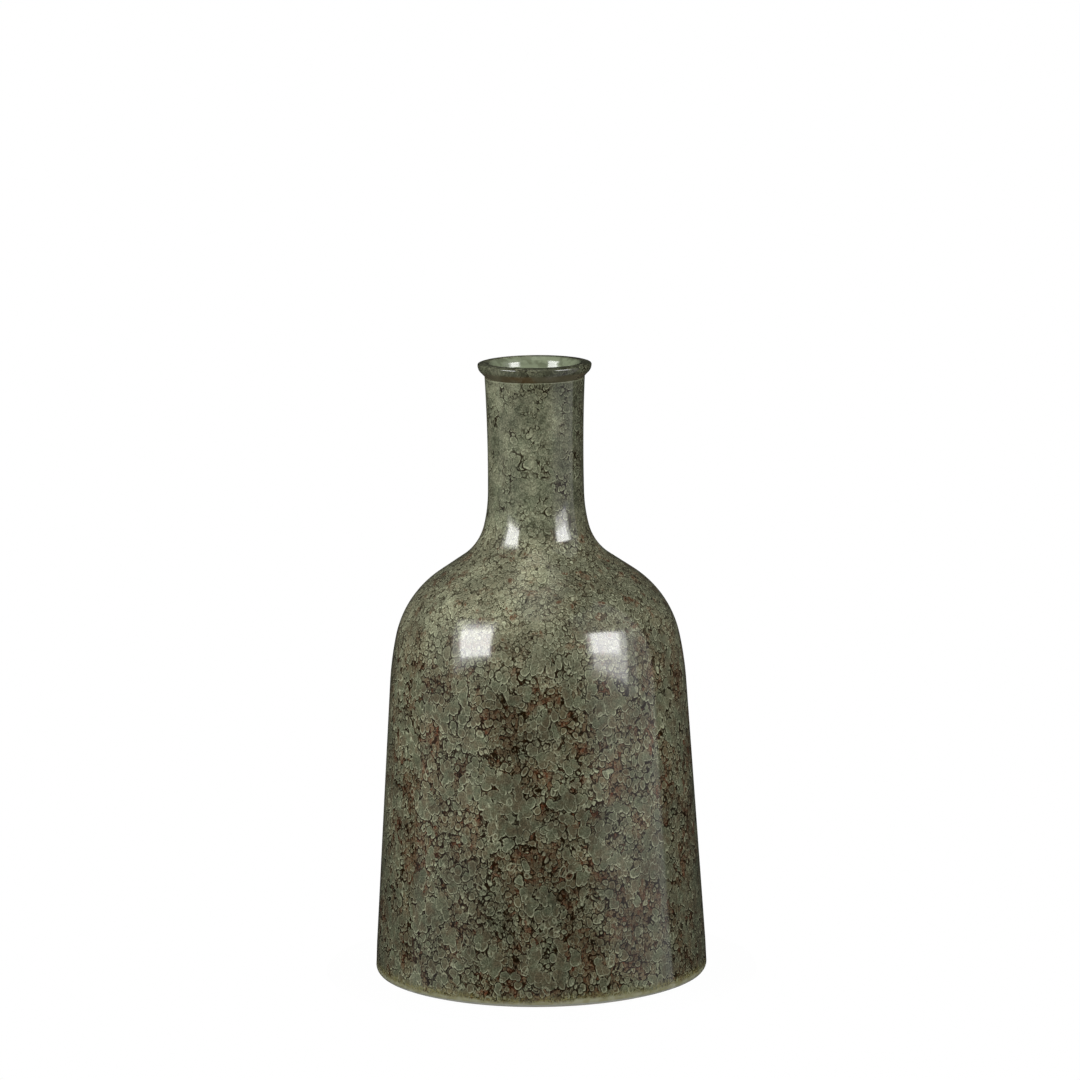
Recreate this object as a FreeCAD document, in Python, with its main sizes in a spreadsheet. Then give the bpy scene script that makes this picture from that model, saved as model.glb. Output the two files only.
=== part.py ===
import FreeCAD, Part
import math
import os
import Sketcher

# Bottle vase, thrown in sections that are joined leather hard, then glazed.
#
# The clay is a base with a turned foot ring, a leaning wall, a shoulder dome that draws in
# to a flared collar, a waisted neck, and a rolled lip ring round the end of the neck. The
# glaze is a thick outer coat, a coat on the lip, a liner inside and a thin pale band round
# the foot. The axis of the wheel is Z, the vase stands on Z = 0, and lengths are millimetres.
#
# The outer line of the clay is one chain: rounded foot, leaning wall, belly arc, shoulder
# arc, short cone, root arc, flare arc and waisted neck, each tangent to the next. Below the
# round, a trimmed bevel leads down to the foot ring. A lean is the angle between the line
# and the vertical, positive where it closes inwards.

# Driving sizes of the clay, the coats and the joints

SIZES = {
    # outer line of the clay
    "base_radius": 99.4,
    "foot_round": 3.6,
    "wall_lean": 3.75,
    "belly_lean": 12.0,
    "shoulder_lean": 56.0,
    "root_lean": 14.0,
    "flare_lean": 1.0,
    "fired_height": 367.95,
    "waist_radius": 27.9,
    "waist_drop": 50.9,
    "neck_flare": 1.25,
    # arcs of the outer line, as shares of the step from the base radius to the neck
    "belly_round_share": 2.79,
    "shoulder_round_share": 0.842,
    "root_round_share": 0.452,
    "flare_round_share": 1.245,
    # walls, floor and turned foot
    "wall_thickness": 6.5,
    "neck_thickness": 5.1,
    "floor_thickness": 8.5,
    "floor_corner": 12.0,
    "corner_slope": 45.0,
    "foot_ring_width": 10.0,
    "foot_recess": 2.5,
    "recess_slope_share": 0.8,
    # keyed joints between the thrown sections
    "key_height": 2.5,
    "key_inset_share": 0.25,
    # rolled lip
    "lip_height": 8.45,
    "lip_overhang": 4.1,
    "lip_inset": 0.35,
    "lip_roll": 5.4,
    "lip_edge_bevel": 0.45,
    "lip_top_lean": 70.0,
    "lip_top_round": 10.6,
    # spigot on the neck's end, inside the lip ring
    "spigot_thickness": 2.15,
    "spigot_height": 2.0,
    "spigot_bevel": 0.8,
    "bevel_slope": 45.0,
    # coats of glaze
    "glaze_thickness": 0.6,
    "liner_thickness": 0.5,
    "foot_band_thickness": 0.35,
    "foot_band_rise": 1.8,
    "foot_band_start": 41.0,
}

# Places on the outer line, worked out from the driving sizes

PLACES = {
    "step": "Sizes.base_radius - Sizes.waist_radius",
    "belly_round": "step * Sizes.belly_round_share",
    "shoulder_round": "step * Sizes.shoulder_round_share",
    "root_round": "step * Sizes.root_round_share",
    "flare_round": "step * Sizes.flare_round_share",
    "waist_round": "(Sizes.waist_drop ^ 2 + Sizes.neck_flare ^ 2) / (2 * Sizes.neck_flare)",
    "seam_z": "Sizes.fired_height - Sizes.lip_height",
    "waist_z": "seam_z - Sizes.waist_drop",
    "foot_centre_r": "Sizes.base_radius - Sizes.foot_round",
    "wall_foot_r": "foot_centre_r + Sizes.foot_round * cos(Sizes.wall_lean)",
    "wall_foot_z": "Sizes.foot_round + Sizes.foot_round * sin(Sizes.wall_lean)",
    "flare_top_r": "Sizes.waist_radius + waist_round * (1 - cos(Sizes.flare_lean))",
    "flare_top_z": "waist_z - waist_round * sin(Sizes.flare_lean)",
    # what the wall and the cone have left to climb and to draw in
    "straight_rise": (
        "flare_top_z - wall_foot_z"
        " - belly_round * (sin(Sizes.belly_lean) - sin(Sizes.wall_lean))"
        " - shoulder_round * (sin(Sizes.shoulder_lean) - sin(Sizes.belly_lean))"
        " - root_round * (sin(Sizes.shoulder_lean) - sin(Sizes.root_lean))"
        " - flare_round * (sin(Sizes.root_lean) - sin(Sizes.flare_lean))"
    ),
    "straight_draw": (
        "wall_foot_r - flare_top_r"
        " - belly_round * (cos(Sizes.wall_lean) - cos(Sizes.belly_lean))"
        " - shoulder_round * (cos(Sizes.belly_lean) - cos(Sizes.shoulder_lean))"
        " - root_round * (cos(Sizes.root_lean) - cos(Sizes.shoulder_lean))"
        " - flare_round * (cos(Sizes.flare_lean) - cos(Sizes.root_lean))"
    ),
    "wall_length": (
        "(straight_rise * sin(Sizes.shoulder_lean) - straight_draw * cos(Sizes.shoulder_lean))"
        " / sin(Sizes.shoulder_lean - Sizes.wall_lean)"
    ),
    "cone_length": (
        "(straight_draw * cos(Sizes.wall_lean) - straight_rise * sin(Sizes.wall_lean))"
        " / sin(Sizes.shoulder_lean - Sizes.wall_lean)"
    ),
    "wall_top_r": "wall_foot_r - wall_length * sin(Sizes.wall_lean)",
    "wall_top_z": "wall_foot_z + wall_length * cos(Sizes.wall_lean)",
    "belly_top_r": "wall_top_r - belly_round * (cos(Sizes.wall_lean) - cos(Sizes.belly_lean))",
    "belly_top_z": "wall_top_z + belly_round * (sin(Sizes.belly_lean) - sin(Sizes.wall_lean))",
    "cone_foot_r": (
        "belly_top_r - shoulder_round * (cos(Sizes.belly_lean) - cos(Sizes.shoulder_lean))"
    ),
    "cone_foot_z": (
        "belly_top_z + shoulder_round * (sin(Sizes.shoulder_lean) - sin(Sizes.belly_lean))"
    ),
    "cone_top_r": "cone_foot_r - cone_length * sin(Sizes.shoulder_lean)",
    "cone_top_z": "cone_foot_z + cone_length * cos(Sizes.shoulder_lean)",
    "root_top_r": "cone_top_r - root_round * (cos(Sizes.root_lean) - cos(Sizes.shoulder_lean))",
    "root_top_z": "cone_top_z + root_round * (sin(Sizes.shoulder_lean) - sin(Sizes.root_lean))",
    # top of the pale foot band, on the wall
    "band_top_r": "wall_foot_r - Sizes.foot_band_rise * sin(Sizes.wall_lean)",
    "band_top_z": "wall_foot_z + Sizes.foot_band_rise * cos(Sizes.wall_lean)",
    # seat of the wall on the base, and the corner inside it
    "floor_z": "Sizes.foot_recess + Sizes.floor_thickness",
    "seat_z": "floor_z",
    "seat_r": "wall_foot_r - (floor_z - wall_foot_z) * tan(Sizes.wall_lean)",
    "corner_top_z": "floor_z + Sizes.floor_corner * tan(Sizes.corner_slope)",
    "corner_top_r": (
        "wall_foot_r - Sizes.wall_thickness / cos(Sizes.wall_lean)"
        " - (corner_top_z - wall_foot_z) * tan(Sizes.wall_lean)"
    ),
    "corner_r": "corner_top_r - Sizes.floor_corner",
    # inside of the neck
    "bore_r": "Sizes.waist_radius - Sizes.neck_thickness",
    "throat_r": "cone_top_r - Sizes.wall_thickness * cos(Sizes.shoulder_lean)",
    "throat_z": "cone_top_z - Sizes.wall_thickness * sin(Sizes.shoulder_lean)",
    "throat_round": "(throat_r - bore_r) / (1 - cos(Sizes.shoulder_lean))",
    "bore_foot_z": "throat_z + throat_round * sin(Sizes.shoulder_lean)",
    "spigot_r": "bore_r + Sizes.spigot_thickness",
    "spigot_z": "seam_z + Sizes.spigot_height",
    # lip ring
    "lip_foot_r": "Sizes.waist_radius + Sizes.neck_flare - Sizes.lip_inset",
    "lip_wide_r": "Sizes.waist_radius + Sizes.neck_flare + Sizes.lip_overhang",
    "lip_wide_z": (
        "Sizes.fired_height - Sizes.lip_edge_bevel * sin(Sizes.lip_top_lean)"
        " - Sizes.lip_top_round * (1 - sin(Sizes.lip_top_lean))"
    ),
    "lip_roll_r": "lip_wide_r - Sizes.lip_roll",
    "lip_reach": "sqrt((lip_roll_r - lip_foot_r) ^ 2 + (lip_wide_z - seam_z) ^ 2)",
    "lip_under_lean": (
        "asin(Sizes.lip_roll / lip_reach) + atan((lip_roll_r - lip_foot_r) / (lip_wide_z - seam_z))"
    ),
    "lip_turn_r": "lip_wide_r - Sizes.lip_edge_bevel * (1 - cos(Sizes.lip_top_lean))",
    "lip_turn_z": "lip_wide_z + Sizes.lip_edge_bevel * sin(Sizes.lip_top_lean)",
    "lip_crest_r": "lip_turn_r - Sizes.lip_top_round * cos(Sizes.lip_top_lean)",
    "lip_inner_round": "lip_crest_r - spigot_r",
    "lip_inner_z": "Sizes.fired_height - lip_inner_round",
}

doc = FreeCAD.newDocument("BottleVase")


def fill_sheets():
    """Write the driving sizes as numbers, and the places as formulas of them."""
    sizes = doc.addObject("Spreadsheet::Sheet", "Sizes")
    for row, (name, value) in enumerate(SIZES.items(), start=1):
        sizes.set(f"A{row}", name)
        sizes.set(f"B{row}", str(value))
        sizes.setAlias(f"B{row}", name)
    outline = doc.addObject("Spreadsheet::Sheet", "Outline")
    for row, name in enumerate(PLACES, start=1):
        outline.set(f"A{row}", name)
        outline.setAlias(f"B{row}", name)
    for row, formula in enumerate(PLACES.values(), start=1):
        outline.set(f"B{row}", "=" + formula)
    doc.recompute()
    return outline


outline_sheet = fill_sheets()


# Points and edges of a section drawing, as expressions of the sheets

def place(name):
    """Names a cell of the outline sheet."""
    return f"Outline.{name}"


def size(name):
    """Names a cell of the sizes sheet."""
    return f"Sizes.{name}"


def spot(name, lean, inward="0", along="0"):
    """A point off the outer line: inward is square to it, along is up it."""
    radius = f"{place(name)}_r - ({inward}) * cos({lean}) - ({along}) * sin({lean})"
    height = f"{place(name)}_z - ({inward}) * sin({lean}) + ({along}) * cos({lean})"
    return radius, height


def number(expression):
    """The present value of an expression."""
    return float(outline_sheet.evalExpression(expression))


STRAIGHT = None
FULL_TURN = 360


def left(radius):
    """An arc whose centre lies left of the way from its first point to its last."""
    return radius, 1


def right(radius):
    """An arc whose centre lies right of the way from its first point to its last."""
    return radius, -1


def edge_geometry(first, last, bend):
    """A line or an arc between two points, and which of its ends is the first."""
    if bend is STRAIGHT:
        return Part.LineSegment(first, last), 1, 2
    radius, side = number(bend[0]), bend[1]
    chord = last - first
    rise = math.sqrt(radius ** 2 - (chord.Length / 2) ** 2)
    across = FreeCAD.Vector(-chord.y, chord.x, 0).normalize()
    centre = (first + last) / 2 + across * rise * side
    angles = [math.atan2(point.y - centre.y, point.x - centre.x) for point in (first, last)]
    circle = Part.Circle(centre, FreeCAD.Vector(0, 0, 1), radius)
    if side > 0:
        return Part.ArcOfCircle(circle, angles[0], angles[1]), 1, 2
    return Part.ArcOfCircle(circle, angles[1], angles[0]), 2, 1


def pin(sketch, edge, end, radius, height):
    """Hold the end of an edge at a radius and a height that the sheets give."""
    for kind, axis, expression in (("DistanceX", -2, radius), ("DistanceY", -1, height)):
        if expression == "0":
            sketch.addConstraint(Sketcher.Constraint("PointOnObject", edge, end, axis))
            continue
        held = Sketcher.Constraint(kind, -1, 1, edge, end, number(expression))
        index = sketch.addConstraint(held)
        sketch.setExpression(f"Constraints[{index}]", expression)


def turned(name, path):
    """A body turned about the wheel's axis from a closed path of corners and bends."""
    body = doc.addObject("PartDesign::Body", name)
    body.Label = name
    plane = next(item for item in body.Origin.OriginFeatures if item.Role == "XZ_Plane")
    sketch = body.newObject("Sketcher::SketchObject", f"{name}_section")
    sketch.AttachmentSupport = [(plane, "")]
    sketch.MapMode = "FlatFace"
    corners = [FreeCAD.Vector(number(radius), number(height), 0) for (radius, height), _ in path]
    ends = []
    for index, (_, bend) in enumerate(path):
        first, last = corners[index], corners[(index + 1) % len(path)]
        shape, start, stop = edge_geometry(first, last, bend)
        sketch.addGeometry(shape, False)
        ends.append((start, stop))
    for index, ((radius, height), bend) in enumerate(path):
        following = (index + 1) % len(path)
        joined = Sketcher.Constraint("Coincident", index, ends[index][1], following, ends[following][0])
        sketch.addConstraint(joined)
        pin(sketch, index, ends[index][0], radius, height)
        if bend is not STRAIGHT:
            held = sketch.addConstraint(Sketcher.Constraint("Radius", index, number(bend[0])))
            sketch.setExpression(f"Constraints[{held}]", bend[0])
    revolution = body.newObject("PartDesign::Revolution", f"{name}_turning")
    revolution.Profile = sketch
    revolution.ReferenceAxis = (sketch, ["V_Axis"])
    revolution.Angle = FULL_TURN
    body.Placement = FreeCAD.Placement()
    return body


# Stretches of line that neighbouring pieces share

GLAZE = size("glaze_thickness")
LINER = size("liner_thickness")
WALL = size("wall_thickness")
WALL_LEAN = size("wall_lean")
BELLY_LEAN = size("belly_lean")
SHOULDER_LEAN = size("shoulder_lean")
ROOT_LEAN = size("root_lean")
FLARE_LEAN = size("flare_lean")
LEVEL = "0"
RIDGE_UP = size("key_height")
RIDGE_DOWN = f"-{size('key_height')}"
COLLAR = f"({place('flare_top_r')} - {place('bore_r')})"


def key(name, lean, thickness, ridge=RIDGE_UP):
    """The keyed face between two sections, from the outside in: a ridge into a groove."""
    inset = f"{thickness} * {size('key_inset_share')}"
    far_inset = f"{thickness} * (1 - {size('key_inset_share')})"
    return [
        (spot(name, lean), STRAIGHT),
        (spot(name, lean, inset), STRAIGHT),
        (spot(name, lean, f"{thickness} / 2", ridge), STRAIGHT),
        (spot(name, lean, far_inset), STRAIGHT),
        (spot(name, lean, thickness), STRAIGHT),
    ]


def backwards(path):
    """The same stretch walked the other way."""
    spots = [corner for corner, _ in path]
    bends = [bend for _, bend in path][:-1]
    flipped = [bend if bend is STRAIGHT else (bend[0], -bend[1]) for bend in bends]
    return list(zip(spots[::-1], flipped[::-1] + [STRAIGHT]))


def keyed_end(name, lean, thickness, ridge=RIDGE_UP):
    """The same face on the upper section, walked from the inside out, without its ends."""
    return backwards(key(name, lean, thickness, ridge))[1:-1]


def dome_outside(outward):
    """The outer line from the top of the wall to the neck seam, outward of the clay."""
    depth = f"-({outward})"
    return [
        (spot("wall_top", WALL_LEAN, depth), left(f"{place('belly_round')} + ({outward})")),
        (spot("belly_top", BELLY_LEAN, depth), left(f"{place('shoulder_round')} + ({outward})")),
        (spot("cone_foot", SHOULDER_LEAN, depth), STRAIGHT),
        (spot("cone_top", SHOULDER_LEAN, depth), right(f"{place('root_round')} - ({outward})")),
        (spot("root_top", ROOT_LEAN, depth), right(f"{place('flare_round')} - ({outward})")),
        (spot("flare_top", FLARE_LEAN, depth), STRAIGHT),
    ]


def neck_outside(outward):
    """The neck's waisted outer line from its seam to the lip, outward of the clay."""
    waist_bend = f"({place('waist_round')} - ({outward}))"
    centre_r = f"{size('waist_radius')} + {place('waist_round')}"
    rim_r = f"{centre_r} - sqrt({waist_bend} ^ 2 - {size('waist_drop')} ^ 2)"
    return [
        (spot("flare_top", FLARE_LEAN, f"-({outward})"), right(waist_bend)),
        ((rim_r, place("seam_z")), STRAIGHT),
    ]


def band_foot(outward):
    """The foot band's lower end, part way round the rounded foot."""
    reach = f"({size('foot_round')} + {outward})"
    start = size("foot_band_start")
    radius = f"{place('foot_centre_r')} + {reach} * cos({start})"
    return radius, f"{size('foot_round')} - {reach} * sin({start})"


def floor_corner(depth):
    """The inside line over the floor and up its sloped corner, a depth in from the clay."""
    slope = size("corner_slope")
    spread = f"({depth}) / (1 + cos({slope} + {WALL_LEAN}))"
    foot_r = f"{place('corner_r')} - ({depth}) * tan({slope} / 2)"
    top_r = f"{place('corner_top_r')} - {spread} * (sin({slope}) + cos({WALL_LEAN}))"
    top_z = f"{place('corner_top_z')} + {spread} * (cos({slope}) - sin({WALL_LEAN}))"
    return [
        (("0", f"{place('floor_z')} + ({depth})"), STRAIGHT),
        ((foot_r, f"{place('floor_z')} + ({depth})"), STRAIGHT),
        ((top_r, top_z), STRAIGHT),
    ]


def hollow(depth):
    """The inside line from the top of the wall to the neck seam, a depth in from the clay."""
    inward = f"{WALL} + ({depth})"
    throat_r = f"{place('throat_r')} - ({depth}) * cos({SHOULDER_LEAN})"
    throat_z = f"{place('throat_z')} - ({depth}) * sin({SHOULDER_LEAN})"
    bore = f"{place('bore_r')} - ({depth})"
    return [
        (spot("wall_top", WALL_LEAN, inward), left(f"{place('belly_round')} - ({inward})")),
        (spot("belly_top", BELLY_LEAN, inward), left(f"{place('shoulder_round')} - ({inward})")),
        (spot("cone_foot", SHOULDER_LEAN, inward), STRAIGHT),
        ((throat_r, throat_z), right(f"{place('throat_round')} + ({depth})")),
        ((bore, place("bore_foot_z")), STRAIGHT),
        ((bore, place("flare_top_z")), STRAIGHT),
    ]


def spigot_rim(depth):
    """The bevelled rim of the neck's spigot, from the bore to the lip ring."""
    turn = f"({depth}) * tan({size('bevel_slope')} / 2)"
    bevel = size("spigot_bevel")
    return [
        ((f"{place('bore_r')} - ({depth})", f"{place('spigot_z')} - {bevel} + {turn}"), STRAIGHT),
        ((f"{place('bore_r')} + {bevel} - {turn}", f"{place('spigot_z')} + ({depth})"), STRAIGHT),
        ((place("spigot_r"), f"{place('spigot_z')} + ({depth})"), STRAIGHT),
    ]


def lip_outside(outward):
    """The lip's line from its underside over the crest and down inside the mouth."""
    under = place("lip_under_lean")
    foot = f"{place('lip_foot_r')} + ({outward}) / cos({under})"
    roll = f"{size('lip_roll')} + ({outward})"
    roll_foot_r = f"{place('lip_roll_r')} + ({roll}) * cos({under})"
    roll_foot_z = f"{place('lip_wide_z')} - ({roll}) * sin({under})"
    turn_r = f"{place('lip_turn_r')} + ({outward}) * cos({size('lip_top_lean')})"
    turn_z = f"{place('lip_turn_z')} + ({outward}) * sin({size('lip_top_lean')})"
    crest = (place("lip_crest_r"), f"{size('fired_height')} + ({outward})")
    return [
        ((foot, place("seam_z")), STRAIGHT),
        ((roll_foot_r, roll_foot_z), left(roll)),
        ((f"{place('lip_wide_r')} + ({outward})", place("lip_wide_z")), STRAIGHT),
        ((turn_r, turn_z), left(f"{size('lip_top_round')} + ({outward})")),
        (crest, left(f"{place('lip_inner_round')} + ({outward})")),
        ((f"{place('spigot_r')} - ({outward})", place("lip_inner_z")), STRAIGHT),
    ]


# Clay sections

def make_base():
    """The floor and its turned foot ring, grooved for the wall."""
    ring_r = f"{place('foot_centre_r')} - {size('foot_ring_width')}"
    slope = f"{size('foot_recess')} * {size('recess_slope_share')}"
    foot = [
        (("0", size("foot_recess")), STRAIGHT),
        ((f"{ring_r} - {slope}", size("foot_recess")), STRAIGHT),
        ((ring_r, "0"), STRAIGHT),
        ((place("foot_centre_r"), "0"), STRAIGHT),
        (band_foot("0"), left(size("foot_round"))),
        (spot("wall_foot", WALL_LEAN), STRAIGHT),
    ]
    seat = key("seat", LEVEL, WALL, RIDGE_DOWN)[:-1]
    return turned("base", foot + seat + [(("0", place("floor_z")), STRAIGHT)])


def make_wall():
    """The leaning wall, with a sloped corner at its foot and a ridge at each end."""
    rim = key("wall_top", WALL_LEAN, WALL)
    corner = backwards(floor_corner("0"))[:-1]
    seat = keyed_end("seat", LEVEL, WALL, RIDGE_DOWN)
    return turned("wall", [(spot("seat", LEVEL), STRAIGHT)] + rim + corner + seat)


def make_shoulder():
    """The dome and its flared collar, grooved over the wall and ridged for the neck."""
    outside = dome_outside("0")[:-1]
    collar = key("flare_top", LEVEL, COLLAR)[:-1]
    inside = backwards(hollow("0"))
    return turned("shoulder", outside + collar + inside + keyed_end("wall_top", WALL_LEAN, WALL))


def make_neck():
    """The waisted tube, with a spigot at its end that the lip ring goes round."""
    outside = neck_outside("0")
    spigot = [((place("spigot_r"), place("seam_z")), STRAIGHT)] + backwards(spigot_rim("0"))
    foot = [((place("bore_r"), place("flare_top_z")), STRAIGHT)]
    return turned("neck", outside + spigot + foot + keyed_end("flare_top", LEVEL, COLLAR))


def make_lip():
    """The ring that rolls out round the end of the neck."""
    return turned("lip", lip_outside("0") + [((place("spigot_r"), place("seam_z")), STRAIGHT)])


# Coats of glaze

def make_outer_glaze():
    """The thick coat from the foot band up to the seam under the lip."""
    outside = dome_outside(GLAZE)[:-1] + neck_outside(GLAZE)
    inside = backwards(neck_outside("0"))[:-1] + backwards(dome_outside("0"))
    outer_foot = (spot("band_top", WALL_LEAN, f"-{GLAZE}"), STRAIGHT)
    inner_foot = (spot("band_top", WALL_LEAN), STRAIGHT)
    return turned("outer_glaze", [outer_foot] + outside + inside + [inner_foot])


def make_lip_glaze():
    """The coat over the lip ring, down to the ledge inside the mouth."""
    ledge_z = f"{place('spigot_z')} + {LINER}"
    ledge = [
        ((f"{place('spigot_r')} - {GLAZE}", ledge_z), STRAIGHT),
        ((place("spigot_r"), ledge_z), STRAIGHT),
    ]
    return turned("lip_glaze", lip_outside(GLAZE) + ledge + backwards(lip_outside("0")))


def make_liner_glaze():
    """The coat inside: floor, wall, shoulder and bore, up over the spigot's rim."""
    line = floor_corner(LINER) + hollow(LINER)[:-1] + spigot_rim(LINER)
    clay = backwards(spigot_rim("0")) + backwards(hollow("0"))[1:] + backwards(floor_corner("0"))
    return turned("liner_glaze", line + clay)


def make_foot_glaze():
    """The thin pale band round the foot, clear of the surface that the vase stands on."""
    thin = size("foot_band_thickness")
    return turned("foot_glaze", [
        (band_foot(thin), left(f"{size('foot_round')} + {thin}")),
        (spot("wall_foot", WALL_LEAN, f"-{thin}"), STRAIGHT),
        (spot("band_top", WALL_LEAN, f"-{thin}"), STRAIGHT),
        (spot("band_top", WALL_LEAN), STRAIGHT),
        (spot("wall_foot", WALL_LEAN), right(size("foot_round"))),
        (band_foot("0"), STRAIGHT),
    ])


pieces = [
    make_base(), make_wall(), make_shoulder(), make_neck(), make_lip(),
    make_outer_glaze(), make_lip_glaze(), make_liner_glaze(), make_foot_glaze(),
]
doc.recompute()

# Checks, then one file for each piece

for item in doc.Objects:
    if "Invalid" in item.State or "Error" in item.State:
        raise RuntimeError(f"{item.Label} did not build: {item.State}")
for piece in pieces:
    if piece.Shape.isNull() or not piece.Shape.isValid() or len(piece.Shape.Solids) != 1:
        raise RuntimeError(f"{piece.Label} has no valid solid")

os.makedirs("parts", exist_ok=True)
for piece in pieces:
    piece.Shape.exportStep(os.path.join("parts", f"{piece.Label}.step"))
    print(piece.Label, "volume", round(piece.Shape.Volume), "mm3")
print("inside radius of the glazed mouth", round(number(f"Outline.bore_r - {LINER}"), 3))
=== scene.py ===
"""Bottle vase in mottled grey-green glaze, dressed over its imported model."""
import logging
import math
from dataclasses import dataclass, field
from enum import Enum
from typing import Union

import bpy
from mathutils import Matrix


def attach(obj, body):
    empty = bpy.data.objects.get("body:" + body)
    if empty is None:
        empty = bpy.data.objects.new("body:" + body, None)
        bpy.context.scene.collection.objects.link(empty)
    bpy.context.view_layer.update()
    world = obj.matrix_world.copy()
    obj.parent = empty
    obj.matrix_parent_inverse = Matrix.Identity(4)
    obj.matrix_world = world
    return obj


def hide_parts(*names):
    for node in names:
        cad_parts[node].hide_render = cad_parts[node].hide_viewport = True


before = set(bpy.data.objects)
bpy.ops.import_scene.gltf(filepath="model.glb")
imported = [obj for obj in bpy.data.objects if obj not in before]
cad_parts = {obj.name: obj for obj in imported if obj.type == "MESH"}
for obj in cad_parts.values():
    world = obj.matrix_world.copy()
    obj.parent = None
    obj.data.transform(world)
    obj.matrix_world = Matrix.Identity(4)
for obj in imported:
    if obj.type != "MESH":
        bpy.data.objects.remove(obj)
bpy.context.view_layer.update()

LOG = logging.getLogger("bottle_vase")
MM = 0.001

# Turned meshes: steps round the axis, the gap that is welded, and the angle that stays crisp
STEPS_ROUND = 256
WELD = 0.002 * MM
CRISP = math.radians(40)

# Directions in a section, in degrees from the outward one
OUT, UP, IN = 0.0, 90.0, 180.0

# What lays a point flat on the floor, the middle of a coloured noise, and plain white
LEVEL = (1.0, 1.0, 0.0)
NOISE_MIDDLE = (0.5, 0.5, 0.5)
WHITE = (1.0, 1.0, 1.0)

Spot = tuple[float, float]
Place = tuple[float, float, float]
Colour = tuple[float, float, float]
Socket = bpy.types.NodeSocket
Value = Union[float, Socket]
Paint = Union[Colour, Socket]


def srgb(red: int, green: int, blue: int) -> Colour:
    """Turns a screen colour, 0 to 255 a channel, into the linear one that shaders take.

    Args:
        red: the red channel.
        green: the green channel.
        blue: the blue channel.

    Returns:
        The linear colour, 0 to 1 a channel.
    """
    def linear(channel: int) -> float:
        """One channel's linear value."""
        share = channel / 255
        return share / 12.92 if share <= 0.04045 else ((share + 0.055) / 1.055) ** 2.4
    return linear(red), linear(green), linear(blue)


class Slot(Enum):
    """The record's material slots for the turned coats."""

    REACTIVE = "reactive_glaze"
    FOOT = "foot_glaze"


# Node trees

@dataclass(frozen=True)
class Fade:
    """A soft step from start to stop as a value goes from low to high."""

    low: float
    high: float
    start: float = 0.0
    stop: float = 1.0


@dataclass(frozen=True)
class Mottle:
    """Soft patches: noise put through a soft step.

    Grain is the width of the patches in metres, detail is how many finer copies the noise
    carries and roughness how strong they are. The rest is as in a fade.
    """

    grain: float
    detail: float
    low: float
    high: float
    start: float = 0.0
    stop: float = 1.0
    roughness: float = 0.5


@dataclass(frozen=True)
class Wander:
    """Soft noise about zero: the width of its patches and its whole reach, in metres."""

    grain: float
    reach: float
    detail: float = 1.0


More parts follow.
